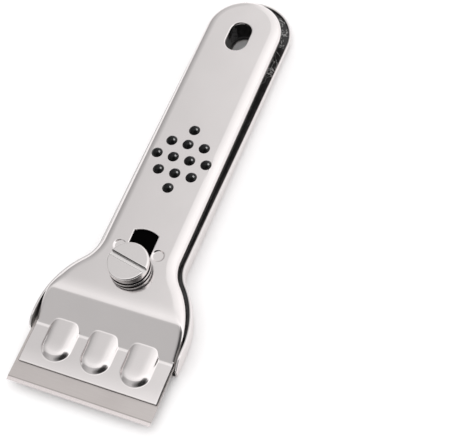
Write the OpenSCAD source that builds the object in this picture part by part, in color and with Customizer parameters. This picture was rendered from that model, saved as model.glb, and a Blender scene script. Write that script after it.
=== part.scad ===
// Razor blade scraper: a sliding cover and a tray, both pressed from sheet, round a plastic core.
// It lies on the tray, its cutting edge faces -Y, and the middle of its length is at the origin.

/* [Overall] */
// Length from the cutting edge to the rear end of the lower shell
overall_l = 143; // [135:0.5:160]
// Height from the resting face to the top of the cover
overall_h = 9.3; // [9:0.1:11]

/* [Blade] */
// Length of the cutting edge
blade_l = 43; // [40:0.5:46]
// Depth of the blade from its edge to its back
blade_d = 22; // [21:0.5:24]
// Thickness of the blade
blade_t = 0.25; // [0.2:0.05:0.4]
// Width of the bevel along the edge
blade_bevel = 1.3; // [0.8:0.1:2]
// Thickness left at the very edge
blade_edge_t = 0.04; // [0.02:0.01:0.08]
// Diameter of the three holes
blade_hole_d = 5.2; // [4.8:0.1:6]
// Distance between the holes, the pegs and the lip's channels
blade_pitch = 12; // [10.5:0.1:13]
// Sideways rest position of the blade on its pegs
blade_shift = -0.3; // [-0.3:0.1:0.3]
// How far the edge stands out past the lip
blade_reach = 5.95; // [4:0.05:7]

/* [Blade seat] */
// Thickness of the stepped plate under the blade
seat_t = 1.2; // [0.8:0.1:1.6]
// Gap under the front of the seat, which is the height of its step
seat_rise = 0.92; // [0.6:0.02:1.4]
// Width of the rear of the seat
seat_rear_w = 28; // [22:1:30]
// Diameter of the pegs
peg_d = 4; // [3.4:0.1:4.2]
// How far a peg stands above the seat
peg_h = 1.1; // [0.7:0.05:1.15]
// Diameter of a seat rivet
rivet_d = 3; // [2:0.1:4]
// Diameter of a seat rivet's head
rivet_head_d = 5; // [4.4:0.1:6]
// Height of a seat rivet's head
rivet_head_h = 0.7; // [0.4:0.1:1]
// Distance between the two seat rivets
rivet_pitch = 18; // [12:1:20]

/* [Upper shell] */
// Sheet thickness of the upper shell
upper_sheet = 0.8; // [0.6:0.05:1]
// Width of the upper shell along the handle
handle_w = 23.9; // [23.2:0.1:26]
// Height of the skirt along the handle
skirt_h = 3.57; // [3:0.05:4]
// Outside radius of the rounded edge
edge_r = 2.5; // [1.6:0.1:2.6]
// How far the blade reaches back under the slope
blade_under = 4.4; // [3.5:0.1:5]
// Length of the slope along the handle
slope_run = 11.6; // [9:0.1:13]
// How far the blade's ends stand out past the lip
lip_inset = 0.73; // [0.5:0.01:1.2]
// Half length of the bend at the foot of the slope
foot_bend = 0.6; // [0.4:0.1:1.4]
// Half length of the bend at the head of the slope
brow_bend = 1.7; // [1:0.1:2.2]
// Radius of the head's rounded shoulders
shoulder_bow = 25; // [20:0.5:30]
// Radius of the hollow where the handle meets the head
waist_r = 11; // [6:0.5:14]
// How far the shoulders start behind the foot of the slope
shoulder_back = 4.2; // [3:0.1:5]
// Distance from the upper shell's rear end to the lower shell's
rear_step = 4.4; // [3:0.1:6]

/* [Lip channels] */
// Width of a channel
channel_w = 8.2; // [7.4:0.1:8.8]
// Height of a channel above the lip
channel_h = 1.15; // [0.9:0.05:1.4]
// Distance from a peg back to the centre of its channel's round end
channel_lead = 1; // [0.8:0.1:1.4]
// Radius of a channel's upper edge
channel_edge_r = 0.9; // [0.85:0.05:0.9]

/* [Lower shell] */
// Sheet thickness of the lower shell
lower_sheet = 0.6; // [0.5:0.05:0.8]
// Gap between the two shells along the handle
side_gap = 0.9; // [0.6:0.05:1.4]
// How much wider the lower shell gets on each side towards its rear end
rear_flare = 0.5; // [0:0.05:1]
// Gap between the two shells at the front of the head
head_gap = 0.5; // [0.35:0.05:0.8]
// Gap between the blade's ends and the lower shell
blade_side_gap = 0.4; // [0.35:0.05:0.8]
// Radius of the lower shell's bottom edge
tray_edge_r = 1.6; // [1:0.1:2]
// Height of the wall at the rear end
rim_rear_h = 2.2; // [2:0.1:2.6]
// Height to which the wall's rim rises at the cutting edge's place
rim_front_h = 6.633; // [5:0.001:7]
// How far the lower shell reaches in front of the foot of the slope
tray_reach = 1.6; // [0:0.1:3]
// Length over which the walls come down to their front ends
nose_l = 5.5; // [3:0.1:6]
// How far the walls come down at their front ends
nose_drop = 3; // [1:0.1:3.4]

/* [Clamp] */
// Distance from the brow of the slope back to the screw
screw_back = 9.74; // [8:0.02:12]
// Diameter of the screw's shank
shank_d = 5; // [4:0.5:5]
// Diameter of the screw head
head_d = 12; // [10:0.1:13]
// Height of the screw head
head_h = 1.9; // [1.6:0.1:3]
// Width of the driver slot
driver_w = 1.2; // [0.8:0.1:1.6]
// Depth of the driver slot
driver_d = 1; // [0.6:0.1:1.2]
// Turn of the driver slot
driver_turn = -12.7; // [-90:0.1:90]
// Outside diameter of the lock washer
lock_d = 11.4; // [9:0.1:12]
// Thickness of the lock washer
lock_t = 1.4; // [1:0.1:1.8]
// Width of the lock washer's split
lock_split = 0.8; // [0.5:0.1:1.2]
// Outside diameter of the flat washer
washer_d = 12; // [10:0.1:13]
// Thickness of the flat washer
washer_t = 1.2; // [0.8:0.1:1.4]
// Diameter of the post under the cover
post_d = 9.5; // [9:0.1:10.5]
// Diameter of the post's riveted foot
foot_d = 5; // [4:0.1:6]
// Width of the screw slot in the cover
slot_w = 7.45; // [6.6:0.05:8]
// Distance from the screw back to the slot's rear end
slot_back = 12.66; // [11:0.02:14]
// Radius of the slot's rear end
slot_end_r = 7.2; // [6:0.1:9]
// Distance between the two coined dents
dent_pitch = 11.8; // [11.6:0.1:14]
// Distance from the screw back to the dents
dent_back = 5.95; // [5.5:0.05:9]
// Radius of the ball that the dents are coined with
dent_ball_r = 5.2; // [3:0.1:5.4]
// Depth of the dents
dent_depth = 0.4; // [0.2:0.05:0.45]

/* [Grip pad] */
// Distance from the screw back to the middle of the pad
pad_back = 37.66; // [35:0.1:42]
// Distance between domes
dome_pitch = 5.18; // [4.6:0.02:5.4]
// Diameter of a dome
dome_d = 3; // [2.4:0.1:3.6]
// Height of a dome above the cover
dome_h = 0.8; // [0.5:0.05:1.1]
// Thickness of the pad
pad_t = 1; // [0.8:0.1:1.6]
// Rim of the pad in front of the domes and behind them
pad_rim = 1; // [0.5:0.1:2]

/* [Hang hole] */
// Distance from the rear end of the lower shell to the middle of the hole
hang_back = 19.4; // [19:0.1:22]
// Width of the hole
hang_w = 6.8; // [6:0.1:8]
// Length of the hole
hang_l = 10.8; // [10:0.1:13]

/* [Clearances] */
// Between faces that slide on each other
slide_gap = 0.05; // [0.03:0.01:0.08]
// Between the core and the cover's skirt
guide_gap = 0.2; // [0.15:0.05:0.35]
// Between the core and what it is laid round
core_gap = 0.15; // [0.1:0.05:0.3]
// Between riveted pieces
rivet_gap = 0.02; // [0.01:0.01:0.03]
// Between the screw's shank and its bore, on the radius
thread_gap = 0.05; // [0.03:0.01:0.08]
// Between a washer and the shank, on the radius
washer_gap = 0.35; // [0.3:0.05:0.5]
// Between a dome and its hole, on the radius
dome_gap = 0.05; // [0.03:0.01:0.1]
// Between the core's bore and the hang hole, on the radius
bore_gap = 0.4; // [0.3:0.05:0.6]
// Between the post's neck and the slot's sides
neck_gap = 0.12; // [0.08:0.02:0.2]

/* [Hidden] */
$fn = 48;
chrome = [0.82, 0.82, 0.84];
steel = [0.7, 0.69, 0.68];
black = [0.06, 0.06, 0.06];

// Levels, from the resting face up
seat_low = lower_sheet + seat_t;
seat_top = lower_sheet + seat_rise + seat_t;
blade_top = seat_top + blade_t;
lip_under = blade_top + slide_gap;
lip_top = lip_under + upper_sheet;
cover_under = overall_h - upper_sheet;
core_top = cover_under - slide_gap;
stack_top = overall_h + washer_t + lock_t;

// Stations along the handle, from the edge back
edge_y = -overall_l / 2;
lip_y = edge_y + blade_reach;
blade_rear_y = edge_y + blade_d;
foot_y = blade_rear_y - blade_under;
brow_y = foot_y + slope_run;
screw_y = brow_y + screw_back;
pad_y = screw_y + pad_back;
rear_y = overall_l / 2;
hang_y = rear_y - hang_back;
peg_y = edge_y + blade_d / 2;
tray_y = foot_y - tray_reach;
skirt_share = 1.4;
skirt_y = foot_y + skirt_share * foot_bend;
neck_r = slot_w / 2 - neck_gap;
travel_share = 0.995;
travel = travel_share * (slot_back - neck_r);

// Half widths and the two outlines
tray_half_w = blade_l / 2 + blade_side_gap + lower_sheet;
head_half_w = blade_l / 2 + blade_side_gap - head_gap;
lip_half_w = blade_l / 2 - lip_inset;
cover_half_w = handle_w / 2;
waist_half_w = cover_half_w + side_gap + lower_sheet;
tail_half_w = waist_half_w + rear_flare;
cover_rear_y = rear_y - rear_step - cover_half_w;
tray_rear_y = rear_y - tail_half_w;
shoulder_y = foot_y + shoulder_back;
tray_shift_share = 0.2;
tray_shoulder_y = shoulder_y + tray_shift_share * shoulder_back;
tray_bow = shoulder_bow + tray_half_w - head_half_w;
tray_waist_share = 0.85;
tray_waist_r = tray_waist_share * waist_r;

// Steps of the round parts, and points across an edge
bow_steps = 22;
waist_steps = 5;
rear_steps = 13;
edge_steps = 5;

// A smooth ramp: nothing before its bend, and one for one after it
function ramp(y, at, bend) = y <= at - bend ? 0
    : y >= at + bend ? y - at
    : pow(y - at + bend, 2) / (4 * bend);

// Height of the cover's outer face: lip, slope and top
slope_k = (overall_h - lip_top) / slope_run;
function cover_z(y) = lip_top + slope_k * (ramp(y, foot_y, foot_bend) - ramp(y, brow_y, brow_bend));

// Angle at which the shoulder's bow meets the waist's hollow
function meet(wh, wf, bow, hollow) = acos((wh + hollow - wf + bow) / (bow + hollow));

// Rows of an outline from the shoulders to the rear tip: [x, y, outward x, outward y]
function bow_rows(wf, bow, at, turn) = [for (i = [0:bow_steps - 1])
    let (a = turn * i / bow_steps)
    [wf - bow + bow * cos(a), at + bow * sin(a), cos(a), sin(a)]];
function hollow_rows(wh, hollow, at, turn) = [for (i = [0:waist_steps])
    let (a = turn * (1 - i / waist_steps))
    [wh + hollow - hollow * cos(a), at - hollow * sin(a), cos(a), sin(a)]];
function tail_rows(w, at) = [for (i = [0:rear_steps])
    let (a = 180 * i / (2 * rear_steps + 1))
    [w * cos(a), at + w * sin(a), cos(a), sin(a)]];
function body_rows(wh, wt, wf, bow, hollow, at, tail) =
    let (turn = meet(wh, wf, bow, hollow))
    concat(bow_rows(wf, bow, at, turn),
        hollow_rows(wh, hollow, at + (bow + hollow) * sin(turn), turn),
        tail_rows(wt, tail));

cover_rows = body_rows(cover_half_w, cover_half_w, head_half_w, shoulder_bow, waist_r, shoulder_y,
    cover_rear_y);
tray_rows = body_rows(waist_half_w, tail_half_w, tray_half_w, tray_bow, tray_waist_r, tray_shoulder_y,
    tray_rear_y);

// Outline as a polygon, drawn in by a distance
function last(list) = len(list) - 1;
function right_side(rows, inset) = [for (r = rows) [r[0] - inset * r[2], r[1] - inset * r[3]]];
function left_side(rows, inset) = [for (i = [last(rows):-1:0])
    [inset * rows[i][2] - rows[i][0], rows[i][1] - inset * rows[i][3]]];
function outline(rows, inset) = concat(right_side(rows, inset), left_side(rows, inset));

// Cover: ribs from the skirt's rim over the rounded edge to the top, outside and then inside
rim_share = 0.8;
lip_edge_share = 0.12;
inner_share = 0.25;
skirt_min_share = 1.2;
function skirt_z(y) = min(overall_h - skirt_h, cover_z(y) - skirt_min_share * upper_sheet);
function cover_rib(row, rim, r) =
    let (q = max(r - upper_sheet, inner_share * upper_sheet),
        outer = [for (i = [0:edge_steps]) let (a = 90 * i / edge_steps) [r * (1 - cos(a)), r * (1 - sin(a))]],
        inner = [for (i = [0:edge_steps]) let (a = 90 * i / edge_steps)
            [upper_sheet + q * (1 - cos(a)), upper_sheet + q * (1 - sin(a))]])
    [concat([[row[0], row[1], rim]],
        [for (p = outer) let (y = row[1] - p[0] * row[3]) [row[0] - p[0] * row[2], y, cover_z(y) - p[1]]]),
     concat([[row[0] - upper_sheet * row[2], row[1] - upper_sheet * row[3], rim]],
        [for (p = inner) let (y = row[1] - p[0] * row[3])
            [row[0] - p[0] * row[2], y, max(rim, cover_z(y) - p[1])]])];
lip_stations = [lip_y, foot_y - foot_bend, foot_y - foot_bend / 2, foot_y, foot_y + foot_bend / 2,
    foot_y + foot_bend];
cover_ribs = concat(
    [for (y = lip_stations)
        cover_rib([lip_half_w, y, 1, 0], cover_z(y) - upper_sheet, lip_edge_share * upper_sheet)],
    [for (row = concat([[head_half_w, skirt_y, 1, 0], [head_half_w, (skirt_y + shoulder_y) / 2, 1, 0]],
            cover_rows))
        cover_rib(row, skirt_z(row[1]),
            min(edge_r, rim_share * (cover_z(row[1]) - skirt_z(row[1]))))]);

// Tray: ribs from the wall's rim round the bottom edge to the floor, outside and then inside
function rim_z(y) = rim_rear_h + (rim_front_h - rim_rear_h) * (rear_y - y) / overall_l;
function wall_z(y) = rim_z(y) - nose_drop * pow(max(0, 1 - (y - tray_y) / nose_l), 3);
function tray_rib(row) =
    let (q = tray_edge_r - lower_sheet, rim = wall_z(row[1]))
    [concat([[row[0], row[1], rim]],
        [for (i = [0:edge_steps]) let (a = 90 * i / edge_steps, d = tray_edge_r * (1 - cos(a)))
            [row[0] - d * row[2], row[1] - d * row[3], tray_edge_r * (1 - sin(a))]]),
     concat([[row[0] - lower_sheet * row[2], row[1] - lower_sheet * row[3], rim]],
        [for (i = [0:edge_steps]) let (a = 90 * i / edge_steps, d = lower_sheet + q * (1 - cos(a)))
            [row[0] - d * row[2], row[1] - d * row[3], lower_sheet + q * (1 - sin(a))]])];
nose_shares = [0, 0.06, 0.15, 0.3, 0.5, 0.75];
tray_ribs = [for (row = concat([for (s = nose_shares) [tray_half_w, tray_y + s * nose_l, 1, 0]], tray_rows))
    tray_rib(row)];

// A shell of sheet from its ribs: each rib is mirrored, and neighbours are joined by pairs of triangles
function whole(side) = concat(side, [for (j = [last(side):-1:0]) [-side[j][0], side[j][1], side[j][2]]]);
function pair(a, b, c, d, flip) = flip ? [[a, c, b], [a, d, c]] : [[a, b, c], [a, c, d]];
module shell(ribs, flip) {
    n = len(ribs);
    m = len(ribs[0][0]);
    w = 2 * m;
    // Place of a point in the list: rib i, outside or inside s, point j
    function at(i, s, j) = (2 * i + s) * w + j;
    tip = n - 1;
    points = [for (rib = ribs) for (s = [0, 1]) each whole(rib[s])];
    sheet_faces = [for (i = [0:n - 2]) for (j = [0:w - 2]) for (s = [0, 1])
        each pair(at(i, s, j), at(i, s, j + 1), at(i + 1, s, j + 1), at(i + 1, s, j), s == 1 ? !flip : flip)];
    front_faces = [for (j = [0:w - 2])
        each pair(at(0, 0, j), at(0, 1, j), at(0, 1, j + 1), at(0, 0, j + 1), flip)];
    rim_faces = [for (i = [0:n - 2]) for (j = [0, w - 1])
        each pair(at(i, 0, j), at(i + 1, 0, j), at(i + 1, 1, j), at(i, 1, j), j == 0 ? flip : !flip)];
    tip_faces = [for (j = [0:m - 2]) for (s = [0, 1])
        each pair(at(tip, s, j), at(tip, s, j + 1), at(tip, s, w - 2 - j), at(tip, s, w - 1 - j),
            s == 1 ? !flip : flip)];
    tip_rim = pair(at(tip, 0, 0), at(tip, 0, w - 1), at(tip, 1, w - 1), at(tip, 1, 0), flip);
    polyhedron(points, concat(sheet_faces, front_faces, rim_faces, tip_faces, tip_rim));
}

// A side view drawn in the plane of the handle's length and height, carried across the handle
module across(width) {
    rotate([90, 0, 90])
    linear_extrude(width, center = true)
    children();
}

module oblong(width, length) {
    for (side = [-1, 1])
        translate([0, side * (length - width) / 2])
        circle(d = width);
    square([width, length - width], center = true);
}

// The way under the hang hole, long enough to stay open wherever the cover is slid
module hang_way(gap) {
    translate([0, hang_y - travel / 2])
    oblong(hang_w + 2 * gap, hang_l + travel + 2 * gap);
}

module through(height) {
    translate([0, 0, -height])
    linear_extrude(3 * height)
    children();
}

module screw_slot() {
    translate([0, screw_y])
    circle(d = slot_w);
    intersection() {
        translate([-slot_w / 2, screw_y])
        square([slot_w, slot_back]);
        translate([0, screw_y + slot_back - slot_end_r])
        circle(r = slot_end_r);
    }
}

// One of the lip's channels, drawn in by a distance: a rounded ridge with a round front end
module channel(inset, low) {
    half = channel_w / 2 - inset;
    round_r = channel_edge_r - inset;
    high = lip_top + channel_h - inset;
    back = foot_y + channel_reach - inset;
    middle = peg_y + channel_lead;
    module half_section() {
        translate([0, low])
        square([half - round_r, high - low]);
        translate([0, low])
        square([half, high - round_r - low]);
        translate([half - round_r, high - round_r])
        circle(r = round_r);
    }
    translate([0, middle, 0]) {
        rotate([0, 0, 180])
        rotate_extrude(angle = 180)
        half_section();
        rotate([90, 0, 180])
        linear_extrude(back - middle) {
            half_section();
            mirror([1, 0])
            half_section();
        }
    }
}
channel_share = 1.15;
channel_reach = channel_share * (channel_h / slope_k + foot_bend / 2);

// Everything under the cover's slope, which the channels don't fill
module under_slope() {
    stations = [for (i = [0:8]) foot_y + foot_bend * (i - 4) / 4];
    across(2 * overall_l)
    polygon(concat([[lip_y, -overall_h], [lip_y, lip_under]],
        [for (y = stations) [y, cover_z(y) - upper_sheet]],
        [[brow_y - brow_bend, cover_z(brow_y - brow_bend) - upper_sheet],
         [brow_y - brow_bend, -overall_h]]));
}

dome_rows = [[-2, [0]], [-1, [-1, 0, 1]], [0, [-1.5, -0.5, 0.5, 1.5]], [1, [-1, 0, 1]], [2, [0]]];

module at_domes() {
    for (row = dome_rows)
        for (place = row[1])
            translate([place * dome_pitch, pad_y + row[0] * dome_pitch])
            children();
}

module upper_shell() {
    color(chrome)
    difference() {
        union() {
            shell(cover_ribs, false);
            for (k = [-1, 0, 1])
                translate([k * blade_pitch, 0, 0])
                difference() {
                    channel(0, lip_under);
                    under_slope();
                }
        }
        for (k = [-1, 0, 1])
            translate([k * blade_pitch, 0, 0])
            channel(upper_sheet, -overall_h);
        through(overall_h) {
            screw_slot();
            translate([0, hang_y])
            oblong(hang_w, hang_l);
            at_domes()
            circle(d = dome_d + 2 * dome_gap);
        }
        for (side = [-1, 1])
            translate([side * dent_pitch / 2, screw_y + dent_back, overall_h + dent_ball_r - dent_depth])
            sphere(r = dent_ball_r);
    }
}

module lower_shell() {
    color(chrome)
    difference() {
        shell(tray_ribs, true);
        through(overall_h) {
            hang_way(0);
            translate([0, screw_y])
            circle(d = foot_d + 2 * rivet_gap);
            at_rivets()
            circle(d = rivet_d + 2 * rivet_gap);
        }
    }
}

// The seat: a plate with one step, wide under the blade and narrow where it is riveted
step_share = 1.2;
step_y = blade_rear_y - seat_rise;
step_l = step_share * seat_rise;
seat_inset_share = 0.5;
seat_half_w = lip_half_w - seat_inset_share * lip_inset;
seat_y = lip_y + seat_inset_share * seat_t;
seat_grip_share = 2.2;
seat_rear_y = step_y + step_l + seat_grip_share * rivet_head_d;
rivet_y = (step_y + step_l + seat_rear_y) / 2;

module at_rivets() {
    for (side = [-1, 1])
        translate([side * rivet_pitch / 2, rivet_y])
        children();
}

module blade_seat() {
    color(steel)
    difference() {
        intersection() {
            across(2 * seat_half_w)
            polygon([[seat_y, seat_top - seat_t], [seat_y, seat_top], [step_y, seat_top],
                [step_y + step_l, seat_low], [seat_rear_y, seat_low], [seat_rear_y, lower_sheet],
                [step_y + step_l, lower_sheet], [step_y, seat_top - seat_t]]);
            through(overall_h)
            polygon([[-seat_half_w, seat_y], [seat_half_w, seat_y], [seat_half_w, step_y],
                [seat_rear_w / 2, step_y + step_l], [seat_rear_w / 2, seat_rear_y],
                [-seat_rear_w / 2, seat_rear_y], [-seat_rear_w / 2, step_y + step_l],
                [-seat_half_w, step_y]]);
        }
        through(overall_h) {
            for (k = [-1, 0, 1])
                translate([k * blade_pitch, peg_y])
                circle(d = peg_d + 2 * rivet_gap);
            at_rivets()
            circle(d = rivet_d + 2 * rivet_gap);
        }
    }
}

peg_round_share = 0.15;

module blade_peg(k) {
    chamfer = peg_round_share * peg_d;
    color(steel)
    translate([k * blade_pitch, peg_y, 0])
    rotate_extrude()
    polygon([[0, seat_top - seat_t], [peg_d / 2, seat_top - seat_t],
        [peg_d / 2, seat_top + peg_h - chamfer], [peg_d / 2 - chamfer, seat_top + peg_h],
        [0, seat_top + peg_h]]);
}

module seat_rivet(side) {
    color(steel)
    translate([side * rivet_pitch / 2, rivet_y, 0])
    rotate_extrude()
    polygon([[0, 0], [rivet_d / 2, 0], [rivet_d / 2, seat_low], [rivet_head_d / 2, seat_low],
        [rivet_d / 2, seat_low + rivet_head_h], [0, seat_low + rivet_head_h]]);
}

module blade() {
    color(steel)
    translate([blade_shift, 0, 0])
    difference() {
        across(blade_l)
        polygon([[edge_y, seat_top], [edge_y, seat_top + blade_edge_t],
            [edge_y + blade_bevel, blade_top], [blade_rear_y, blade_top], [blade_rear_y, seat_top]]);
        through(overall_h)
        for (k = [-1, 0, 1])
            translate([k * blade_pitch, peg_y])
            circle(d = blade_hole_d);
    }
}

bore_share = 0.7;
bore_low = lower_sheet + bore_share * (foot_d / 2);

module clamp_post() {
    color(steel)
    translate([0, screw_y, 0])
    rotate_extrude()
    polygon([[0, 0], [foot_d / 2, 0], [foot_d / 2, lower_sheet], [post_d / 2, lower_sheet],
        [post_d / 2, core_top], [neck_r, core_top], [neck_r, overall_h - slide_gap],
        [shank_d / 2 + thread_gap, overall_h - slide_gap], [shank_d / 2 + thread_gap, bore_low],
        [0, bore_low]]);
}

// The core: a broad lower part in the tray and a narrower upper part that guides the cover.
// Both are drawn in by steps where the shells' insides are rounded; the steps lie at these turns.
core_turns = [90, 60, 35, 0];
ledge_share = 1.2;
ledge_drop = ledge_share * lower_sheet;
core_front_share = 0.16;
core_y = blade_rear_y + core_front_share * blade_d;
tongue_share = 1.3;
tongue_y = brow_y + tongue_share * brow_bend;
function ledge_z(y) = rim_z(y) - ledge_drop;

module core_low() {
    inset = lower_sheet + core_gap;
    round_r = tray_edge_r - lower_sheet;
    intersection() {
        for (a = core_turns)
            translate([0, 0, lower_sheet + round_r * (1 - sin(a))])
            linear_extrude(overall_h)
            polygon(outline(tray_rows, inset + round_r * (1 - cos(a))));
        across(2 * overall_l)
        polygon([[core_y, lower_sheet], [core_y, ledge_z(core_y)], [rear_y, ledge_z(rear_y)],
            [rear_y, lower_sheet]]);
    }
}

module core_high() {
    inset = upper_sheet + guide_gap;
    round_r = edge_r - upper_sheet;
    intersection() {
        for (a = core_turns)
            translate([0, 0, lower_sheet])
            linear_extrude(core_top - round_r * (1 - sin(a)) - lower_sheet)
            intersection() {
                polygon(outline(cover_rows, inset + round_r * (1 - cos(a))));
                translate([0, -travel])
                polygon(outline(cover_rows, inset + round_r * (1 - cos(a))));
            }
        across(2 * overall_l)
        polygon([[tongue_y, lower_sheet], [tongue_y, core_top], [rear_y, core_top],
            [rear_y, lower_sheet]]);
    }
}

module handle_core() {
    pad_front_y = pad_y - pad_l / 2 - travel - core_gap;
    pad_rear_y = pad_y + pad_l / 2 + core_gap;
    seat_hole_y = seat_rear_y + core_gap;
    color(black)
    difference() {
        union() {
            core_low();
            core_high();
        }
        through(overall_h) {
            translate([0, screw_y])
            circle(d = post_d + 2 * core_gap);
            hang_way(bore_gap);
        }
        translate([-handle_w / 2, pad_front_y, core_top - pad_t - slide_gap])
        cube([handle_w, pad_rear_y - pad_front_y, overall_h]);
        translate([-seat_rear_w / 2 - core_gap, core_y - blade_d, 0])
        cube([seat_rear_w + 2 * core_gap, seat_hole_y - core_y + blade_d, seat_low + core_gap]);
        translate([0, 0, seat_low])
        linear_extrude(rivet_head_h + core_gap)
        at_rivets()
        circle(d = rivet_head_d + 2 * core_gap);
    }
}

pad_w = handle_w - 2 * edge_r - 2 * core_gap;
pad_l = 4 * dome_pitch + dome_d + 2 * pad_rim;
dome_ball_r = (pow(dome_d / 2, 2) + pow(dome_h, 2)) / (2 * dome_h);

module grip_pad() {
    color(black)
    union() {
        translate([-pad_w / 2, pad_y - pad_l / 2, cover_under - pad_t])
        cube([pad_w, pad_l, pad_t]);
        translate([0, 0, cover_under - pad_t])
        linear_extrude(upper_sheet + pad_t)
        at_domes()
        circle(d = dome_d);
        intersection() {
            at_domes()
            translate([0, 0, overall_h + dome_h - dome_ball_r])
            sphere(r = dome_ball_r);
            translate([-handle_w / 2, pad_y - pad_l / 2, overall_h])
            cube([handle_w, pad_l, 2 * dome_h]);
        }
    }
}

module ring(outer_d, inner_d, low, height) {
    translate([0, screw_y, low])
    difference() {
        cylinder(d = outer_d, h = height);
        through(height)
        circle(d = inner_d);
    }
}

module flat_washer() {
    color(chrome)
    ring(washer_d, shank_d + 2 * washer_gap, overall_h, washer_t);
}

module lock_washer() {
    color(steel)
    difference() {
        ring(lock_d, shank_d + 2 * washer_gap, overall_h + washer_t, lock_t);
        translate([-lock_split / 2, screw_y, overall_h])
        cube([lock_split, lock_d, overall_h]);
    }
}

head_chamfer_share = 0.29;
shank_share = 0.2;

module clamp_screw() {
    chamfer = head_chamfer_share * head_h;
    low = bore_low + shank_share * (core_top - bore_low);
    color(chrome)
    difference() {
        translate([0, screw_y, 0])
        rotate_extrude()
        polygon([[0, low], [shank_d / 2, low], [shank_d / 2, stack_top], [head_d / 2, stack_top],
            [head_d / 2, stack_top + head_h - chamfer], [head_d / 2 - chamfer, stack_top + head_h],
            [0, stack_top + head_h]]);
        translate([0, screw_y, stack_top + head_h - driver_d])
        rotate([0, 0, driver_turn])
        translate([-head_d, -driver_w / 2, 0])
        cube([2 * head_d, driver_w, head_h]);
    }
}

lower_shell();
blade_seat();
blade_peg(-1);  // blade_peg_1
blade_peg(0);  // blade_peg_2
blade_peg(1);  // blade_peg_3
seat_rivet(-1);  // seat_rivet_1
seat_rivet(1);  // seat_rivet_2
blade();
clamp_post();
handle_core();
upper_shell();
grip_pad();
flat_washer();
lock_washer();
clamp_screw();
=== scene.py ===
import bpy
import numpy as np
from mathutils import Matrix


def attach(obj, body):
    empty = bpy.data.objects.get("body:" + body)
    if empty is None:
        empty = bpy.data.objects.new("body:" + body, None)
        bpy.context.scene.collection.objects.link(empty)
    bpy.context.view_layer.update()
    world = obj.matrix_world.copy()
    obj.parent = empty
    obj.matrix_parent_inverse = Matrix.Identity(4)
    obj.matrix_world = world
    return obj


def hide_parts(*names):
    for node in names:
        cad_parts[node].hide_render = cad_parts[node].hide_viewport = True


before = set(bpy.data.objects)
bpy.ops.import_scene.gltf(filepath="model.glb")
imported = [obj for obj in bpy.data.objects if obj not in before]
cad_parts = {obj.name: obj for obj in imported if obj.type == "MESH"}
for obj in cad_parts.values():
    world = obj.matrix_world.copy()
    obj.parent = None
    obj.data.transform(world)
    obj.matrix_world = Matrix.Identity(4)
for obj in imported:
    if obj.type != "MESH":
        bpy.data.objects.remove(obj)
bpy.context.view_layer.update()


# Camera: a long lens held over the right front of the blade, looking down the handle.
# Its three turns, its place and its focal length in pixels are those of the photograph.
def put(name, data):
    """A new object in the scene that shows the given data."""
    made = bpy.data.objects.new(name, data)
    bpy.context.scene.collection.objects.link(made)
    return made


metre = 1000
photo_width, sensor_width, focal = 458, 36, 1153.028
dip, swing, roll = np.radians((59.1541, 32.5246, -13.2714))
eye_shift = np.array([-13.8700, -17.5621, 335.5820])
part_shift = np.array([0, 5.1, 9.3])
level = np.array([[1, 0, 0], [0, -np.sin(dip), -np.cos(dip)], [0, np.cos(dip), -np.sin(dip)]])
swung = np.array([[np.cos(swing), np.sin(swing), 0], [-np.sin(swing), np.cos(swing), 0], [0, 0, 1]])
rolled = np.array([[np.cos(roll), -np.sin(roll), 0], [np.sin(roll), np.cos(roll), 0], [0, 0, 1]])
right, down, ahead = rolled @ level @ swung
eye = (part_shift - np.stack([right, down, ahead]).T @ eye_shift) / metre
stand = np.stack([right, -down, -ahead, eye], 1)
camera = put("camera", bpy.data.cameras.new("camera"))
camera.data.sensor_width = sensor_width
camera.data.lens = focal / photo_width * sensor_width
camera.matrix_world = Matrix(np.vstack([stand, [0, 0, 0, 1]]).tolist())
bpy.context.scene.camera = camera
bpy.context.scene.view_settings.view_transform = "Standard"


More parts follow.
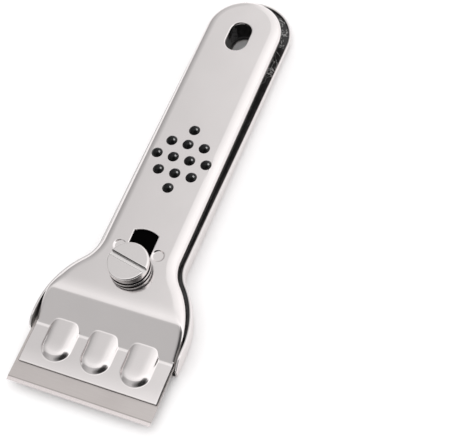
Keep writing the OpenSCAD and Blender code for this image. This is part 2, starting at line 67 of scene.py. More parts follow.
# Studio: a white sweep under the part, one broad soft lamp from behind on the left, and a white sky.
# What shines sees a room instead: bright overhead, a soft box at the right rear, a darker wall in
# front, and a dark corner with a dark flag above it at the right front.
class Value:
    """One output of a node tree: arithmetic adds Math nodes, and node() adds any other node."""

    def __init__(self, tree, socket=None):
        self.tree, self.socket = tree, socket

    def node(self, kind, settings=None, sockets=None, out=0):
        """Adds a node: its settings first, then a number, a colour or a link for each socket."""
        made = self.tree.nodes.new("ShaderNode" + kind)
        for name, setting in (settings or {}).items():
            setattr(made, name, setting)
        for name, value in (sockets or {}).items():
            if isinstance(value, Value):
                self.tree.links.new(value.socket, made.inputs[name])
            else:
                made.inputs[name].default_value = value
        return Value(self.tree, made.outputs[out])

    def maths(self, operation, *terms):
        """One Math node on the given terms."""
        return self.node("Math", {"operation": operation}, dict(enumerate(terms)))

    def __add__(self, other):
        return self.maths("ADD", self, other)

    def __sub__(self, other):
        return self.maths("SUBTRACT", self, other)

    def __rsub__(self, other):
        return self.maths("SUBTRACT", other, self)

    def __mul__(self, other):
        return self.maths("MULTIPLY", self, other)

    def __abs__(self):
        return self.maths("ABSOLUTE", self)

    __radd__, __rmul__ = __add__, __mul__

    def between(self, low, high):
        """0 up to low, 1 from high, and even in between."""
        limits = {"Value": self, "From Min": low, "From Max": high}
        return self.node("MapRange", {"clamp": True}, limits)

    def part(self, axis):
        """One of the three numbers of a place or a direction."""
        return self.node("SeparateXYZ", {}, {0: self}, axis)

    def stretched(self, scale):
        """A place scaled along each axis, so that a pattern on it runs along the least scaled one."""
        return self.node("Mapping", {}, {"Vector": self, "Scale": scale})

    def noise(self, scale, detail, **more):
        """Soft noise over a place, about one half all over."""
        sockets = {"Vector": self, "Scale": scale, "Detail": detail, **more}
        return self.node("TexNoise", {}, sockets, "Fac")

    def colour(self, first, second):
        """A colour that goes from the first to the second as this value goes from 0 to 1."""
        ends = [end if isinstance(end, Value) else (*end, 1) for end in (first, second)]
        return self.node("Mix", {"data_type": "RGBA"}, {0: self, 6: ends[0], 7: ends[1]}, 2)

    def relief(self, strength, distance):
        """A bump in the surface, with this value as its height."""
        sockets = {"Strength": strength, "Distance": distance, "Height": self}
        return self.node("Bump", {}, sockets)


world = bpy.data.worlds.new("studio")
bpy.context.scene.world = world
world.use_nodes = True
sky = Value(world.node_tree)
aim = sky.node("TexCoord", out="Generated")
side, along, up = [aim.part(axis) for axis in range(3)]
glossy = sky.node("LightPath", out="Is Glossy Ray")
seen = sky.node("LightPath", out="Is Camera Ray")


def towards(x, y, z):
    """How far a direction points towards (x, y, z): the cosine of the angle between them."""
    unit = np.array([x, y, z]) / np.linalg.norm([x, y, z])
    return sky.node("VectorMath", {"operation": "DOT_PRODUCT"}, {0: aim, 1: unit.tolist()}, "Value")


# Brightness by direction: side is to the right and along is to the rear. Each part of the room fades
# in between two limits.
strip = 0.28 * (1 - along.between(0.0, 0.24))
near_box, far_box = 0.31 * side.between(-0.38, -0.2), 0.25 * side.between(-0.2, 0.65)
right_box = (near_box + far_box) * along.between(-0.4, 0.1)
front_wall = 0.6 - 0.25 * side.between(-0.27, 0.02)
behind = along.between(-0.41, -0.29)
ceiling = front_wall * (1 - behind) + behind * (0.72 + strip + right_box)
left_room = 0.62 + 0.38 * side.between(-0.85, -0.45)
dark_corner = 1 - 0.74 * towards(0.6, -0.75, 0.25).between(0.6, 0.93)
flag = side.between(0.1, 0.3) * (1 - along.between(-0.14, -0.04)) * up.between(0.3, 0.42)
shine = ceiling * left_room * dark_corner * (1 - 0.78 * flag)
plain_sky, backdrop_white = 1.06, 0.2
strength = glossy * shine + (1 - glossy) * (plain_sky + backdrop_white * seen)
world_out = world.node_tree.nodes["Background"]
world_out.inputs["Color"].default_value = (1, 1, 1, 1)
world.node_tree.links.new(strength.socket, world_out.inputs["Strength"])

lamp = put("lamp", bpy.data.lights.new("lamp", "SUN"))
lamp.data.energy = 0.55
lamp.data.angle = np.radians(70)
lamp.rotation_euler = np.radians((-18, -22, 0)).tolist()
lamp.visible_glossy = False

reach = 1.5
floor_corners = [(-reach, -reach, 0), (reach, -reach, 0), (reach, reach, 0), (-reach, reach, 0)]
floor_mesh = bpy.data.meshes.new("floor")
floor_mesh.from_pydata(floor_corners, [], [(0, 1, 2, 3)])
floor = put("floor", floor_mesh)
paper = bpy.data.materials.new("white_sweep")
paper.use_nodes = True
paper_shader = paper.node_tree.nodes["Principled BSDF"]
paper_shader.inputs["Base Color"].default_value = (0.95, 0.94, 0.94, 1)
paper_shader.inputs["Roughness"].default_value = 0.9
paper_shader.inputs["Specular IOR Level"].default_value = 0
floor.data.materials.append(paper)


# Lower shell: a tray pressed from thin sheet steel and chromed, wider than the cover, open in front.
# One ring of points goes round the sheet at each station: outside from rim to rim, and back inside.
def outline(front_half, bow, shoulder, hollow, half, tail_half, tail, steps):
    """Right half of an outline seen from above, from the shoulder to the rear tip, and its normals.

    A bow of one radius, tangent to a hollow of another, then a straight side and a round end."""
    turn = np.arccos((half + hollow - front_half + bow) / (bow + hollow))
    a = np.linspace(0, turn, steps[0], endpoint=False)
    b = np.linspace(turn, 0, steps[1])
    share = np.linspace(0, 1, steps[2] + 2)[1:-1]
    c = np.linspace(0, np.pi / 2, steps[3])
    waist = shoulder + (bow + hollow) * np.sin(turn)
    x = [front_half - bow + bow * np.cos(a), half + hollow - hollow * np.cos(b),
        half + (tail_half - half) * share, tail_half * np.cos(c)]
    y = [shoulder + bow * np.sin(a), waist - hollow * np.sin(b),
        waist + (tail - waist) * share, tail + tail_half * np.sin(c)]
    lean = np.concatenate([a, b, 0 * share, c])
    return np.concatenate(x), np.concatenate(y), np.cos(lean), np.sin(lean)


def led_by(rows, half, curve):
    """An outline and its normals, with straight rows of one half width put in front of it."""
    ones = np.ones(len(rows))
    straight = (half * ones, rows, ones, 0 * ones)
    return [np.append(first, rest) for first, rest in zip(straight, curve)]


def mirrored(right, left):
    """The right side's points, and then the left side's, mirrored and in the opposite order."""
    return np.concatenate([right, left[:, ::-1] * (-1, 1, 1)], 1)


def sheet_faces(rows, across):
    """Quads of a sheet, and which of them are inside.

    Rows of closed rings, each with as many points outside as inside, and a front end."""
    ring = 2 * across
    i, j = np.meshgrid(np.arange(rows - 1), np.arange(ring), indexing="ij")
    a, b = i * ring + j, i * ring + (j + 1) % ring
    sides = np.stack([a, b, b + ring, a + ring], -1).reshape(-1, 4)
    k = np.arange(across - 1)
    front = np.stack([k + 1, k, ring - 1 - k, ring - 2 - k], -1)
    inside = ((j >= across) & (j < ring - 1)).ravel()
    return np.concatenate([sides, front]), np.append(inside, np.zeros(across - 1, bool))


def make_piece(name, points, faces, materials, finish_of_face=None):
    """A mesh object from points in mm: doubles merged, faces turned outward, bends settled."""
    points, faces = np.asarray(points, float).reshape(-1, 3), np.asarray(faces)
    p = points[faces]
    volume = np.einsum("ij,ij->", np.cross(p[:, 0], p[:, 1]), p[:, 2])
    volume += np.einsum("ij,ij->", np.cross(p[:, 0], p[:, 2]), p[:, 3])
    faces = faces if volume > 0 else faces[:, ::-1]
    mesh = bpy.data.meshes.new(name)
    mesh.from_pydata((points / metre).tolist(), [], faces.tolist())
    for finish in materials:
        mesh.materials.append(finish)
    if finish_of_face is not None:
        mesh.polygons.foreach_set("material_index", finish_of_face.astype(np.int32))
    piece = put(name, mesh)
    piece.modifiers.new("weld", "WELD").merge_threshold = 1e-7
    settle(piece)
    return piece


def settle(piece):
    """Puts what the modifiers make into the piece's own mesh, and marks the bends that stay sharp."""
    sharp_bend = np.radians(38)
    made = bpy.data.meshes.new_from_object(
        piece.evaluated_get(bpy.context.evaluated_depsgraph_get()))
    piece.modifiers.clear()
    piece.data = made
    made.polygons.foreach_set("use_smooth", np.ones(len(made.polygons), bool))
    made.set_sharp_from_angle(angle=sharp_bend)


def flatten(piece):
    """Shades level faces as level, so that the round rims of cuts cast no false shade on them."""
    mesh, nearly_level = piece.data, 0.99999
    facing = np.empty(3 * len(mesh.polygons))
    corners = np.empty(len(mesh.polygons), int)
    mesh.polygons.foreach_get("normal", facing)
    mesh.polygons.foreach_get("loop_total", corners)
    facing = facing.reshape(-1, 3)
    level = np.where(np.abs(facing[:, 2:]) > nearly_level, np.round(facing), 0)
    mesh.normals_split_custom_set(np.repeat(level, corners, 0).tolist())


def cut(piece, tool):
    """Cuts a tool's shape out of a piece; a tool with a finish of its own leaves that on the cut."""
    knife = piece.modifiers.new("cut", "BOOLEAN")
    knife.operation, knife.solver, knife.object = "DIFFERENCE", "EXACT", tool
    knife.material_mode = "TRANSFER" if tool.data.materials else "INDEX"
    settle(piece)
    bpy.data.objects.remove(tool)


def quarter(count):
    """The angles of a quarter turn in even steps."""
    return np.radians(np.linspace(0, 90, count))


def arc(x, y, radius, angles):
    """Points of an arc about (x, y) at the given angles."""
    return np.stack([x + radius * np.cos(angles), y + radius * np.sin(angles)], 1)


def circle(radius, x, y):
    """Points of a circle, as a function of how far it is let out."""
    a = np.linspace(0, 2 * np.pi, 48, endpoint=False)
    return lambda out: arc(x, y, radius + out, a)


def oblong(width, length, y):
    """Points of a slot with round ends, along Y, as a function of how far it is let out."""
    a = np.linspace(0, np.pi, 32)
    ends = y + np.repeat([1, -1], len(a)) * (length - width) / 2
    return lambda out: arc(0, ends, width / 2 + out, np.append(a, a + np.pi))


def tube(rings):
    """Points and quads of a row of closed rings, with each end drawn to a point in its middle."""
    rings = np.asarray(rings, float)
    tip, tail = [np.broadcast_to(end.mean(0), end.shape)[None] for end in (rings[0], rings[-1])]
    rings = np.concatenate([tip, rings, tail])
    n, k = rings.shape[:2]
    i, j = np.meshgrid(np.arange(n - 1), np.arange(k), indexing="ij")
    p, q = i * k + j, i * k + (j + 1) % k
    return rings.reshape(-1, 3), np.stack([p, q, q + k, p + k], -1).reshape(-1, 4)


def together(shells):
    """Several shells of points and quads as one."""
    starts = np.cumsum([0] + [len(points) for points, quads in shells])
    shifted = [quads + start for (points, quads), start in zip(shells, starts)]
    return np.concatenate([points for points, quads in shells]), np.concatenate(shifted)


def punch(shapes, low, high, round_low, round_high):
    """A tool with one closed plug for each shape: a straight wall that flares at both faces.

    The flare is a quarter round of the given radius, so the hole's rim comes out rounded."""
    a = quarter(7)
    outs = np.concatenate([[round_low], round_low * (1 - np.sin(a)),
        round_high * (1 - np.cos(a)), [round_high]])
    heights = np.concatenate([[low - overshoot], low + round_low * (1 - np.cos(a)),
        high - round_high + round_high * np.sin(a), [high + overshoot]])
    plugs = [tube([np.column_stack([shape(out), np.full(len(shape(out)), z)])
        for out, z in zip(outs, heights)]) for shape in shapes]
    return make_piece("punch", *together(plugs), [])


def new_finish(name):
    """A finish, and the places on the piece that its patterns are drawn from."""
    finish = bpy.data.materials.new(name)
    finish.use_nodes = True
    return finish, Value(finish.node_tree).node("TexCoord", out="Object")


def dress(finish, colour, rough, relief=None, metal=1):
    """Gives a finish's shader its colour, its roughness and its relief."""
    shader = finish.node_tree.nodes["Principled BSDF"]
    shader.inputs["Metallic"].default_value = metal
    for name, value in (("Base Color", colour), ("Roughness", rough), ("Normal", relief)):
        if value is not None:
            finish.node_tree.links.new(value.socket, shader.inputs[name])
    return finish


def plated(name, colour, shade, rough, haze, grain=(1.0, 0.03, 1.0), gaps=()):
    """Chrome plate: mirror metal with soft patches of polishing haze and fine polishing lines.

    Near each given height, where two pieces meet, the plate is painted dark as shade in the gap,
    as far as the given reach."""
    gap_shade = (0.012, 0.011, 0.011)
    finish, place = new_finish(name)
    cloud = place.noise(90.0, 3.0).between(0.3, 0.7)
    lines = place.stretched(grain).noise(5200.0, 2.0)
    tint = cloud.colour(colour, shade)
    for height, reach in gaps:
        tint = abs(place.part(2) - height).between(0.7 * reach, reach).colour(gap_shade, tint)
    dull = rough + haze * cloud + 0.05 * (lines - 0.5)
    wave = place.noise(260.0, 1.0) + 0.02 * lines
    return dress(finish, tint, dull, wave.relief(0.03, 0.0002))


chrome = plated("bright_chrome", (0.81, 0.77, 0.765), (0.78, 0.742, 0.737), rough=0.10, haze=0.05)
dull_chrome = plated("dull_inside", (0.42, 0.41, 0.40), (0.34, 0.33, 0.32), rough=0.38, haze=0.1)

tray_sheet, tray_round, tray_half = 0.6, 1.6, 22.5
tray_front, nose_long, half_length = -55.5, 5.5, 71.5
nose_share = np.array([0, 0.03, 0.07, 0.12, 0.18, 0.26, 0.36, 0.48, 0.62, 0.8, 1])
tray_x, tray_y, tray_nx, tray_ny = led_by(tray_front + nose_long * nose_share, tray_half, outline(
    front_half=tray_half, bow=26.1, shoulder=-48.86, hollow=9.35, half=13.45, tail_half=13.93,
    tail=57.54, steps=(44, 18, 8, 36)))
rear_rim, rim_slope, nose_drop = 2.2, 0.031, 3
right_extra, extra_from, extra_run = 0.45, 20, 30
into_nose = np.maximum(1 - (tray_y - tray_front) / nose_long, 0)
left_rim = rear_rim + rim_slope * (half_length - tray_y) - nose_drop * into_nose ** 3
right_rim = left_rim + right_extra * np.clip((extra_from - tray_y) / extra_run, 0, 1)
rim_chamfer = 0.1
rim_inset, rim_drop = np.array([1, 0.25, 0]), np.array([0, 0.3, 1])
edge_turn = quarter(11)
floor_columns = np.linspace(1, 0, 6)[1:-1]


def tray_side(rim, depth, radius, chamfer):
    """Half of one face of the tray, at a depth in the sheet.

    It goes down the wall from the rim, round the bottom edge and over the floor."""
    inset = depth + np.append(chamfer * rim_inset, radius * (1 - np.cos(edge_turn)))
    x = tray_x[:, None] - inset * tray_nx[:, None]
    y = tray_y[:, None] - inset * tray_ny[:, None]
    z = np.empty_like(x)
    z[:, :len(rim_drop)] = rim[:, None] - rim_drop * abs(chamfer)
    z[:, len(rim_drop):] = depth + radius * (1 - np.sin(edge_turn))
    wall = np.stack([x, y, z], -1)
    flat = np.repeat(wall[:, -1:], len(floor_columns), 1)
    flat[..., 0] *= floor_columns
    return np.concatenate([wall, flat], 1)


tray_out = mirrored(*[tray_side(rim, 0, tray_round, rim_chamfer) for rim in (right_rim, left_rim)])
tray_in = mirrored(*[tray_side(rim, tray_sheet, tray_round - tray_sheet, -rim_chamfer)
    for rim in (right_rim, left_rim)])
tray_faces, tray_inside = sheet_faces(len(tray_x), tray_out.shape[1])
tray = make_piece("tray", np.concatenate([tray_out, tray_in[:, ::-1]], 1), tray_faces,
    [chrome, dull_chrome], tray_inside)
overshoot = 1
screw_y, hang_width = -32.56, 6.8
rivet_x, rivet_y, rivet_hole = 9, -43.816, 1.52
tray_holes = [oblong(width=hang_width, length=19.81, y=47.595), circle(radius=2.52, x=0, y=screw_y)]
tray_holes += [circle(rivet_hole, x, rivet_y) for x in (-rivet_x, rivet_x)]
cut(tray, punch(tray_holes, 0, tray_sheet, round_low=0.12, round_high=0.05))
flatten(tray)
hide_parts("lower_shell")
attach(tray, "base")


# Blade seat, its rivets, the pegs and the clamp post: plain pressed and turned steel in the tray.
# The seat is riveted to the tray, the pegs are riveted in the seat, and the post in the floor.
def plain_steel(name, colour, shade, rough, grain):
    """Bare steel: a grey metal with fine rolled or turned streaks and a few duller patches."""
    finish, place = new_finish(name)
    streak = place.stretched(grain).noise(3000.0, 3.0).between(0.25, 0.75)
    patch = place.noise(140.0, 3.0).between(0.35, 0.7)
    tint = (0.6 * streak + 0.4 * patch).colour(colour, shade)
    return dress(finish, tint, rough + 0.12 * patch + 0.06 * streak, streak.relief(0.12, 0.0001))


seat_steel = plain_steel("seat_steel", (0.50, 0.49, 0.48), (0.40, 0.39, 0.38), rough=0.28,
    grain=(0.04, 1.0, 1.0))
post_steel = plain_steel("post_steel", (0.52, 0.51, 0.50), (0.42, 0.41, 0.40), rough=0.26,
    grain=(0.3, 0.3, 1.0))
for node in ("blade_seat", "seat_rivet_1", "seat_rivet_2"):
    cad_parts[node].data.materials[0] = seat_steel
for node in ("blade_peg_1", "blade_peg_2", "blade_peg_3", "clamp_post"):
    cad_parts[node].data.materials[0] = post_steel

# Blade: hardened steel strip with a ground bevel along its edge and three holes, loose on its pegs.
# Its flat faces come from the solid; the finish shows the rolled face, a dark line where grinding
# began, and the brighter ground bevel.
bevel_back, line_back, fade = -0.07053, -0.0702, 0.00002
blade_finish, place = new_finish("blade_steel")
bevel, dark_line = [1 - place.part(1).between(back - fade, back + fade)
    for back in (bevel_back, line_back)]
rolled_lines = place.stretched((0.03, 1, 1)).noise(6500.0, 2.0).between(0.3, 0.7)
ground_lines = place.stretched((1, 0.05, 1)).noise(5000.0, 2.0).between(0.3, 0.7)
stain = place.noise(110.0, 4.0).between(0.4, 0.75)
flat_tint = (0.5 * rolled_lines + 0.5 * stain).colour((0.62, 0.575, 0.56), (0.56, 0.515, 0.50))
bevel_tint = ground_lines.colour((0.75, 0.69, 0.685), (0.70, 0.642, 0.637))
blade_tint = bevel.colour((0.45 * dark_line).colour(flat_tint, (0.2, 0.18, 0.17)), bevel_tint)
blade_lines = rolled_lines * (1 - bevel) + ground_lines * bevel
dress(blade_finish, blade_tint, 0.3 + 0.06 * rolled_lines - 0.08 * bevel,
    blade_lines.relief(0.1, 0.00005))
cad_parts["blade"].data.materials[0] = blade_finish


# Core: black moulded plastic between the shells, glossy, with the uneven skin of a thick moulding.
# It lies in the tray, and its upper part guides the cover.
def moulded(name, colour, rough, wave, scale, gloss, shade_height=1.0, glint_from=1.0):
    """Black plastic or rubber: a nearly even colour and a glossy skin with shallow sink waves.

    Above the given height it is a darker matt black, painted shade for the deep slot over it;
    behind the given place its right side has thin, pale, crooked lines of painted highlight.
    Left alone, both lie far outside the piece."""
    matt_black, glint_grey = (0.0015, 0.0014, 0.0014, 1), (0.55, 0.54, 0.53)
    finish, place = new_finish(name)
    shader = finish.node_tree.nodes["Principled BSDF"]
    shader.inputs["Specular IOR Level"].default_value = gloss
    sink = place.noise(scale, 2.0, Distortion=0.8)
    grain = place.noise(9000.0, 2.0)
    tint = sink.between(0.3, 0.7).colour(colour, [1.6 * c for c in colour])
    crook = abs(place.noise(260.0, 3.0, Distortion=1.2) - 0.5)
    # Painted highlight: thin pale crooked lines on the right side towards the rear, for glossy
    # streaks.
    at_rear = place.part(1).between(glint_from, glint_from + 0.006)
    painted_glint = (1 - crook.between(0.004, 0.022)) * at_rear * place.part(0).between(0.006, 0.008)
    tint = (0.75 * painted_glint).colour(tint, glint_grey)
    dress(finish, tint, rough + 0.1 * (grain - 0.5) + 0.06 * sink,
        (sink + 0.02 * grain).relief(wave, 0.0005), metal=0)
    # Painted shade: above the given height the plastic is a darker matt black without gloss.
    matt = place.node("BsdfPrincipled", {}, {"Base Color": matt_black, "Roughness": 0.9,
        "Specular IOR Level": 0.0})
    top_face = place.part(2).between(shade_height - 0.0001, shade_height + 0.0001)
    glossy_skin = Value(finish.node_tree, shader.outputs[0])
    skin = place.node("MixShader", {}, {0: top_face, 1: glossy_skin, 2: matt})
    surface = finish.node_tree.nodes["Material Output"].inputs["Surface"]
    finish.node_tree.links.new(skin.socket, surface)
    return finish


core_plastic = moulded("core_plastic", (0.018, 0.017, 0.017), rough=0.14, wave=0.5, scale=420.0,
    gloss=0.4, shade_height=0.008, glint_from=0.040)
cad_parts["handle_core"].data.materials[0] = core_plastic

# Upper shell: the cover, pressed from sheet steel and chromed: flat top, slope and clamp lip.
# Three channels are pressed up in the lip over the pegs; the slot and holes are punched, and two
# dents coined.
cover_sheet, edge_round, edge_stretch = 0.8, 2.5, 1.2
lip_front, lip_top, lip_half, lip_nose, lip_corner = -65.55, 3.82, 20.77, 0.15, 0.096
foot, brow, top = -53.9, -42.3, 9.3
foot_bend, brow_bend = 0.6, 1.7
steepness = (top - lip_top) / (brow - foot)
shoulder, wide_half, slim_half, wide_round = -49.7, 21.4, 11.95, 1.12
channel_places, channel_inset = (-12, 0, 12), 0.75


def higher(first, second, width):
    """The higher of two heights, with a parabola through the bend where they are nearly equal."""
    apart = np.abs(first - second)
    return np.maximum(first, second) + np.maximum(width - apart, 0) ** 2 / (4 * width)


def cover_height(y):
    """Height of the cover's inner bend line: the lip, then the slope, then the flat top."""
    return lip_top + steepness * (higher(y - foot, 0, foot_bend) - higher(y - brow, 0, brow_bend))


def cover_crest(y):
    """Height of the cover's outer face, where the flat top sinks softly towards the slope.

    The lower of the slope and of a top that falls off as an exponential, with a narrow blend
    between them; the front of the lip bows down as a square."""
    sag, sag_reach, sag_limit = 0.45, 3, 0.6
    blend, bow, bow_from = 0.12, 0.008, -60
    slope = lip_top + steepness * higher(y - foot, 0, foot_bend)
    sunk = top - sag * np.exp(np.minimum((brow - y) / sag_reach, sag_limit))
    return -higher(-slope, -sunk, blend) - bow * np.maximum(bow_from - y, 0) ** 2


def channel_rise(x, y, inset):
    """How far a channel's face stands above the lip and slope.

    A pillow inside a U: one less the sixth power of the way out from its middle line, a little
    lower towards the round end, and joined to the sheet by a fillet that is tighter on the slope."""
    rise, half, middle = 1.28, 4.6 - inset, -58.7
    lip_fillet, fillet_less, fillet_from, fillet_run = 0.45, 0.33, -56, 2
    end_fall, end_from, end_run = 0.12, -57, 3.5
    fillet = lip_fillet - fillet_less * np.clip((y - fillet_from) / fillet_run, 0, 1)
    aside = np.min([np.abs(x - place) for place in channel_places], 0)
    out = np.where(y > middle, aside, np.hypot(aside, y - middle)) / half
    crown = 1 - end_fall * (np.maximum(end_from - y, 0) / end_run) ** 2
    share = np.maximum(1 - out ** 6, -1)
    above = lip_top - fillet + (rise * crown + fillet) * share - cover_height(y)
    return higher(above, 0, fillet)


nose_turn = quarter(4)
lip_rows = np.concatenate([lip_front + lip_nose * (1 - np.cos(nose_turn)),
    np.linspace(-65.1, -64.4, 3), np.arange(-64.3, -59, 0.14), np.linspace(-58.9, -55.3, 10),
    np.linspace(-54.8, -53.3, 13)])
side_rows = np.linspace(-53.06, shoulder, 26, endpoint=False)
cover_x, cover_y, cover_nx, cover_ny = led_by(lip_rows, lip_half, led_by(side_rows, wide_half,
    outline(front_half=wide_half, bow=25, shoulder=shoulder, hollow=11, half=slim_half,
        tail_half=slim_half, tail=55.15, steps=(48, 20, 6, 32))))
on_lip = np.arange(len(cover_x)) < len(lip_rows)
skirt_deep, skirt_more, skirt_least = 3.95, 0.42, 1.75 * cover_sheet
handle_from, handle_run, head_end, head_run = -40, 18, -45, 6
corner_share, inner_least = 0.8, 0.2
on_handle = np.clip((cover_y - handle_from) / handle_run, 0, 1)
behind_head = np.clip((cover_y - head_end) / head_run, 0, 1)
bend_line = cover_height(cover_y)
skirt = np.where(on_lip, bend_line - cover_sheet,
    np.minimum(top - skirt_deep - skirt_more * on_handle, bend_line - skirt_least))
side_round = wide_round + (edge_round - wide_round) * behind_head
corner = np.where(on_lip, lip_corner, np.minimum(corner_share * (bend_line - skirt), side_round))
inner_corner = np.maximum(corner - cover_sheet, inner_least)
front_drop = np.zeros(len(cover_x))
front_drop[:len(nose_turn)] = lip_nose * (1 - np.sin(nose_turn))
# The columns across the lip lie close together where the walls of the channels stand.
wall_columns = np.linspace(2.8, 5, 18)
channel_columns = np.concatenate([-wall_columns, np.linspace(-2.6, 2.6, 25), wall_columns])
plain_columns = np.array([5.5, 6, 6.5, 17.5, 18.2, 19.2, 20])
columns = np.concatenate([place + channel_columns for place in channel_places]
    + [-plain_columns, plain_columns])
columns = np.sort(columns)[::-1] / (lip_half - lip_corner)


def cover_face(height, depth, radius, reach, chamfer):
    """One face of the cover: up the skirt, over the rounded edge, across the top and down again.

    Each edge point is drawn in along the outline's normal and takes its height from the cover's
    height there."""
    at_rim = np.repeat([depth + chamfer * rim_inset], len(reach), 0)
    inset = np.hstack([at_rim, depth + reach[:, None] * (1 - np.cos(edge_turn))])
    x = cover_x[:, None] - inset * cover_nx[:, None]
    y = cover_y[:, None] - inset * cover_ny[:, None]
    over = height(y[:, len(rim_inset):]) - depth - radius[:, None] * (1 - np.sin(edge_turn))
    over = np.maximum(over - front_drop[:, None], skirt[:, None])
    lift = np.minimum(skirt[:, None] + rim_drop * abs(chamfer), over[:, :1])
    flank = np.stack([x, y, np.hstack([lift, over])], -1)
    mid_x = columns * x[:, -1:]
    mid_y = np.repeat(y[:, -1:], len(columns), 1)
    mid_z = height(mid_y) - depth - (depth == 0) * front_drop[:, None]
    mid_z = mid_z + channel_rise(mid_x, mid_y, channel_inset * depth)
    return mirrored(np.concatenate([flank, np.stack([mid_x, mid_y, mid_z], -1)], 1), flank)


cover_out = cover_face(cover_crest, 0, corner, edge_stretch * corner, rim_chamfer)
cover_in = cover_face(cover_height, cover_sheet, inner_corner, inner_corner, -rim_chamfer)
cover_across, edge_faces, edge_shade_index = cover_out.shape[1], len(edge_turn) + 1, 2
cover_faces, cover_inside = sheet_faces(len(cover_x), cover_across)
cover_finish = cover_inside.astype(int)
# Painted shade: the lip's front end face and its rounded side edges get a near-black finish, for the
# dark line along the lip's edge above the blade.
front_end = len(cover_finish) - (cover_across - 1)
cover_finish[front_end:] = edge_shade_index
lip_faces = cover_finish[:front_end].reshape(len(cover_x) - 1, -1)[:len(lip_rows) - 1]
lip_faces[:, :edge_faces] = edge_shade_index
lip_faces[:, cover_across - 1 - edge_faces:cover_across - 1] = edge_shade_index
painted_edge_shade = plated("painted_edge_shade", (0.06, 0.056, 0.055), (0.04, 0.037, 0.036), rough=0.3,
    haze=0.1)
cover = make_piece("cover", np.concatenate([cover_out, cover_in[:, ::-1]], 1), cover_faces,
    [chrome, dull_chrome, painted_edge_shade], cover_finish)


def screw_slot(out):
    """The screw slot, let out by a distance.

    A half circle in front, straight sides and a shallow arc behind."""
    half, reach, reach_from = 3.725 + out, 7.2 + out, -27.1
    front = np.linspace(np.pi, 2 * np.pi, 33)
    rear = np.linspace(-1, 1, 15) * np.arcsin(half / reach) + np.pi / 2
    return np.concatenate([arc(0, screw_y, half, front), arc(0, reach_from, reach, rear)])


pad_y, dome_pitch, dome_hole = 5.1, 5.18, 1.62
dome_rows = ((-2, (0,)), (-1, (-1, 0, 1)), (0, (-1.5, -0.5, 0.5, 1.5)), (1, (-1, 0, 1)), (2, (0,)))
dome_spots = [(place * dome_pitch, pad_y + row * dome_pitch)
    for row, places in dome_rows for place in places]
hang_hole = oblong(width=hang_width, length=10.8, y=52.1)
dome_holes = [circle(dome_hole, x, y) for x, y in dome_spots]
cut(cover, punch([screw_slot, hang_hole], top - cover_sheet, top, round_low=0.06, round_high=0.38))
cut(cover, punch(dome_holes, top - cover_sheet, top, round_low=0.06, round_high=0.1))


def turned(profile, x, y, count=64):
    """A profile of radius and height carried round an upright axis: its points and quads."""
    profile = np.asarray(profile, float)
    a = np.linspace(0, 2 * np.pi, count, endpoint=False)[:, None]
    points = np.stack([x + profile[:, 0] * np.cos(a), y + profile[:, 0] * np.sin(a),
        np.repeat(profile[None, :, 1], count, 0)], -1)
    i, j = np.meshgrid(np.arange(count), np.arange(len(profile) - 1), indexing="ij")
    p, q = i * len(profile) + j, (i + 1) % count * len(profile) + j
    return points.reshape(-1, 3), np.stack([p, q, q + 1, p + 1], -1).reshape(-1, 4)


dent_x, dent_y, dent_deep, dent_flat, dent_half = 5.9, -26.61, 0.36, 1.4, 2.05
a = np.linspace(0, np.pi, 13)
coin_side = np.stack([dent_flat + (dent_half - dent_flat) * a / np.pi,
    top - dent_deep / 2 * (1 + np.cos(a))], 1)
coin_back = [[dent_half, top + overshoot], [0, top + overshoot]]
coin = np.concatenate([[[0, top - dent_deep]], coin_side, coin_back])
cut(cover, make_piece("dents", *together([turned(coin, x, dent_y) for x in (-dent_x, dent_x)]), []))
flatten(cover)
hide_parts("upper_shell")
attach(cover, "cover")

# Grip pad: black rubber moulded in one piece, a plate under the cover with twelve domes in holes.
# The domes are smooth caps that stand a little above the chrome, and a soft lamp of their own,
# which lights nothing else, picks out their gloss.
dome_rise, dome_half, dome_neck, dome_foot = 1.2, 1.58, 9.2, 8.0
dome_ball = (dome_half ** 2 + dome_rise ** 2) / (2 * dome_rise)
a = np.linspace(0, 1, 15) * np.arccos(1 - dome_rise / dome_ball)
cap = np.stack([dome_ball * np.sin(a), top + dome_rise - dome_ball * (1 - np.cos(a))], 1)
dome = np.concatenate([cap, [[dome_half, dome_neck], [dome_half, dome_foot], [0, dome_foot]]])
plate_half, plate_long, plate_corner = 9.3, 12.86, 1
plate_rings = ((0.99, 8.5), (1, 8.4), (1, 7.6), (0.99, 7.5))
a = np.linspace(0, 2 * np.pi, 64, endpoint=False)
plate_edge = arc(np.sign(np.cos(a)) * (plate_half - plate_corner),
    np.sign(np.sin(a)) * (plate_long - plate_corner), plate_corner, a)
plate = tube([np.column_stack([plate_edge * share, np.full(len(a), z)]) + (0, pad_y, 0)
    for share, z in plate_rings])
pad_rubber = moulded("pad_rubber", (0.0015, 0.0015, 0.0015), rough=0.1, wave=0.06, scale=500.0,
    gloss=0.2)
pad = make_piece("grip_pad", *together([plate] + [turned(dome, x, y, 40) for x, y in dome_spots]),
    [pad_rubber])
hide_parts("grip_pad")
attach(pad, "cover")
pad_light = put("pad_light", bpy.data.lights.new("pad_light", "SUN"))
pad_light.data.energy = 8
pad_light.data.angle = np.radians(40)
pad_light.rotation_euler = (-0.478, 0.8212, 0)
pad_light.light_linking.receiver_collection = bpy.data.collections.new("lit_pad")
pad_light.light_linking.receiver_collection.objects.link(pad)


# Washers: a chromed flat washer on the cover and a split lock washer of square wire on top of it.
# Both lie loose on the screw's shank, with their stamped and drawn edges a little rounded.
def ring_section(inner, outer, low, high, radius):
    """A rectangle with rounded corners, going round once, as radius and height."""
    a = quarter(6)
    corners = [(outer - radius, high - radius), (inner + radius, high - radius),
        (inner + radius, low + radius), (outer - radius, low + radius)]
    loop = np.concatenate([arc(r, z, radius, a + k * np.pi / 2)
        for k, (r, z) in enumerate(corners)])
    return np.concatenate([loop, loop[:1]])


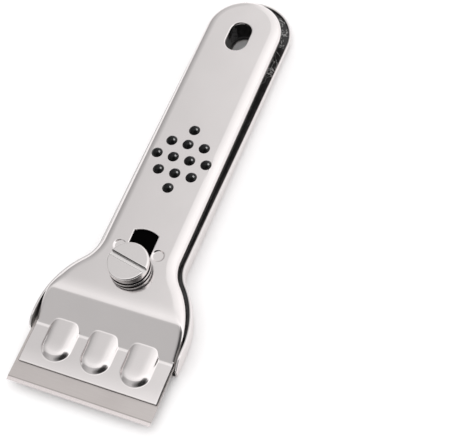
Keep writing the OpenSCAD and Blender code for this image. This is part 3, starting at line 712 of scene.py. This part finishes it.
shank_hole, washer_half, washer_top = 2.85, 6, 10.5
lock_half, lock_top, lock_gap, lock_middle = 5.7, 11.9, 0.4, 4.3
# Painted shade: the turned chrome is painted dark in bands where head, lock washer, flat washer and
# cover meet, widest along the foot of the flat washer.
turned_chrome = plated("turned_chrome", (0.80, 0.765, 0.757), (0.76, 0.727, 0.72), rough=0.12,
    haze=0.05, grain=(0.3, 0.3, 1.0), gaps=((lock_top / metre, 0.00020),
        (washer_top / metre, 0.00018), (top / metre, 0.00062)))
washer_section = ring_section(shank_hole, washer_half, top, washer_top, radius=0.36)
washer = make_piece("flat_washer_ring", *turned(washer_section, 0, screw_y, 96), [turned_chrome])
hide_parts("flat_washer")
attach(washer, "washers")

lock_section = ring_section(shank_hole, lock_half, washer_top, lock_top, radius=0.3)[:-1]
gap_turn = lock_gap / lock_middle
lock_turn = np.linspace(np.pi / 2 + gap_turn, 2.5 * np.pi - gap_turn, 91)[:, None]
lock_rings = np.stack([lock_section[:, 0] * np.cos(lock_turn),
    lock_section[:, 0] * np.sin(lock_turn) + screw_y, lock_section[:, 1] + 0 * lock_turn], -1)
lock = make_piece("lock_washer_ring", *tube(lock_rings), [turned_chrome])
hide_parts("lock_washer")
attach(lock, "washers")

# Clamp screw: a turned and chromed cheese head with a milled driver slot, and a rolled thread.
# It holds the cover down on the post; two turns out free the cover.
head_top, head_low, head_half, head_round, head_chamfer = 13.79, lock_top, 6.0, 0.55, 0.2
shank_half, shank_end, shank_tip, neck_half = 2.5, 3.6, 1.9, 2.2
thread_top, thread_end, thread_pitch, thread_deep = 11.5, 3.65, 0.8, 0.17
shank = np.arange(11.7, 3.7, -0.08)
screw_profile = np.concatenate([[[0, head_top]],
    arc(head_half - head_round, head_top - head_round, head_round, quarter(10)[::-1]),
    [[head_half, head_low + head_chamfer], [head_half - head_chamfer, head_low]],
    [[neck_half, head_low]], np.stack([np.full(len(shank), shank_half), shank], 1),
    [[shank_tip, shank_end], [0, shank_end]]])
screw_points, screw_faces = turned(screw_profile, 0, 0, 128)
turn = np.arctan2(screw_points[:, 1], screw_points[:, 0]) / (2 * np.pi)
groove = np.abs((screw_points[:, 2] / thread_pitch - turn) % 1 - 0.5) * 2
threaded = (screw_points[:, 2] < thread_top) & (screw_points[:, 2] > thread_end)
screw_points[:, :2] *= np.where(threaded, 1 - thread_deep * groove, 1)[:, None]
screw_points[:, 1] += screw_y
screw_head = make_piece("clamp_screw_head", screw_points, screw_faces, [turned_chrome])
# Painted shade: the walls of the driver slot are coloured near black, and only its floor, which faces
# up, keeps a bright tint.
slot_shade, place = new_finish("slot_painted_shade")
facing_up = place.node("NewGeometry", out="Normal").part(2).between(0.8, 0.995)
dress(slot_shade, facing_up.colour((0.05, 0.047, 0.046), (0.86, 0.83, 0.82)),
    0.2 + 0.15 * place.noise(2500.0, 2.0))
slot_half, slot_deep, slot_flare, slot_reach = 0.72, 1, 0.25, 8
slot_turn = np.radians(-12.7)
half_slot = np.concatenate([[[slot_half, head_top - slot_deep]],
    arc(slot_half + slot_flare, head_top - slot_flare, slot_flare, np.pi - quarter(6)),
    [[slot_half + slot_flare, head_top + overshoot]]])
aside, high = np.concatenate([half_slot, half_slot[::-1] * (-1, 1)]).T
slot_rings = [np.stack([r * np.cos(slot_turn) - aside * np.sin(slot_turn),
    r * np.sin(slot_turn) + aside * np.cos(slot_turn) + screw_y, high], 1)
    for r in (-slot_reach, slot_reach)]
cut(screw_head, make_piece("driver_slot", *tube(slot_rings), [slot_shade]))
flatten(screw_head)
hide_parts("clamp_screw")
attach(screw_head, "screw")
